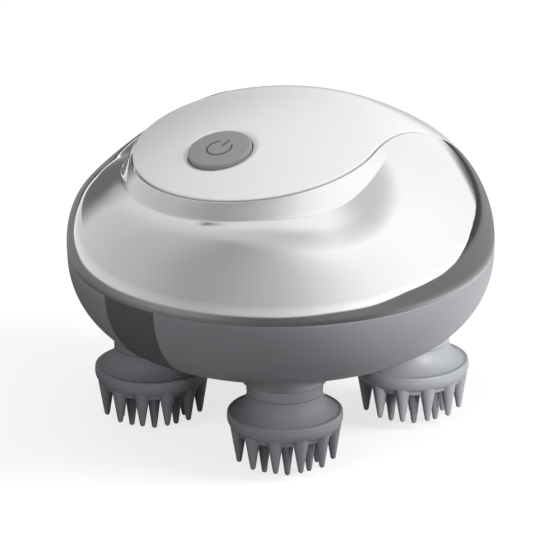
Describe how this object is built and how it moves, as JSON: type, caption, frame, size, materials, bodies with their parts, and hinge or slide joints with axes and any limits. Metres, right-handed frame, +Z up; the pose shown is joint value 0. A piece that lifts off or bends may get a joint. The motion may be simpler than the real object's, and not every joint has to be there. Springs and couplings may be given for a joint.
{
  "type": "scalp massager",
  "caption": "Handheld electric scalp massager: chrome and white dome over a grey bowl, tilted round button, rubber port cover, and gear-coupled turning heads with soft silicone teeth.",
  "frame": {"origin": "under the body axis, on the plane of the longest tooth tips", "axes": "+Z up along the body axis, -Y towards the button and the charging port"},
  "size_m": [0.11, 0.11, 0.083],
  "materials": {
    "white_cover": "satin",
    "chrome_plate": "polished",
    "grey_body": "satin",
    "button_grey": "satin",
    "charcoal_rubber": "matt",
    "silicone_grey": "matt",
    "hub_grey": "satin",
    "seal_black": "matt",
    "inner_black": "matt",
    "gear_nylon": "matt",
    "board_green": "satin",
    "steel": "plain",
    "bearing_brass": "plain",
    "gearbox_alloy": "cast",
    "cell_wrap": "shrink sleeve"
  },
  "bodies": {
    "housing": {"lower_housing": "grey_body", "chrome_shell": "chrome_plate", "top_cover": "white_cover", "housing_gasket": "seal_black", "gear_plate": "inner_black", "plate_screws": "steel", "motor_screws": "steel", "motor_gearbox": "gearbox_alloy", "motor_can": "steel", "drive_bush": "bearing_brass", "battery_cell": "cell_wrap", "battery_cradle": "inner_black", "main_board": "board_green", "board_screws": "steel", "tact_switch": "inner_black", "charging_socket": "steel", "port_board": "board_green", "head_seal_1": "seal_black", "head_seal_2": "seal_black", "head_seal_3": "seal_black", "head_seal_4": "seal_black", "head_bush_1": "bearing_brass", "head_bush_2": "bearing_brass", "head_bush_3": "bearing_brass", "head_bush_4": "bearing_brass"},
    "button": {"power_button": "button_grey"},
    "strip": {"port_cover": "charcoal_rubber"},
    "drive": {"drive_gear": "gear_nylon", "drive_shaft": "steel"},
    "head_1": {"head_hub_1": "hub_grey", "brush_head_1": "silicone_grey", "head_spindle_1": "steel", "head_gear_1": "gear_nylon", "retaining_ring_1": "steel"},
    "head_2": {"head_hub_2": "hub_grey", "brush_head_2": "silicone_grey", "head_spindle_2": "steel", "head_gear_2": "gear_nylon", "retaining_ring_2": "steel"},
    "head_3": {"head_hub_3": "hub_grey", "brush_head_3": "silicone_grey", "head_spindle_3": "steel", "head_gear_3": "gear_nylon", "retaining_ring_3": "steel"},
    "head_4": {"head_hub_4": "hub_grey", "brush_head_4": "silicone_grey", "head_spindle_4": "steel", "head_gear_4": "gear_nylon", "retaining_ring_4": "steel"}
  },
  "joints": [
    {"name": "power_button_press", "type": "slide", "parent": "housing", "child": "button", "axis": [0, 0.2605, -0.9655], "range_m": [0, 0.0008], "stiffness_N_per_m": 800},
    {"name": "port_cover_swing", "type": "hinge", "parent": "housing", "child": "strip", "pos_m": [0, -0.04245, 0.02546], "axis": [1, 0, 0], "range_deg": [0, 75]},
    {"name": "drive_spin", "type": "hinge", "parent": "housing", "child": "drive", "pos_m": [0, 0, 0.0328], "axis": [0, 0, 1], "continuous": true},
    {"name": "head_1_spin", "type": "hinge", "parent": "housing", "child": "head_1", "pos_m": [0.02369, -0.02369, 0.0328], "axis": [0, 0, 1], "continuous": true},
    {"name": "head_2_spin", "type": "hinge", "parent": "housing", "child": "head_2", "pos_m": [0.02369, 0.02369, 0.0328], "axis": [0, 0, 1], "continuous": true},
    {"name": "head_3_spin", "type": "hinge", "parent": "housing", "child": "head_3", "pos_m": [-0.02369, 0.02369, 0.0328], "axis": [0, 0, 1], "continuous": true},
    {"name": "head_4_spin", "type": "hinge", "parent": "housing", "child": "head_4", "pos_m": [-0.02369, -0.02369, 0.0328], "axis": [0, 0, 1], "continuous": true}
  ],
  "couplings": [
    {"joint": "head_1_spin", "follows": "drive_spin", "ratio": -2.5263},
    {"joint": "head_2_spin", "follows": "drive_spin", "ratio": -2.5263},
    {"joint": "head_3_spin", "follows": "drive_spin", "ratio": -2.5263},
    {"joint": "head_4_spin", "follows": "drive_spin", "ratio": -2.5263}
  ]
}
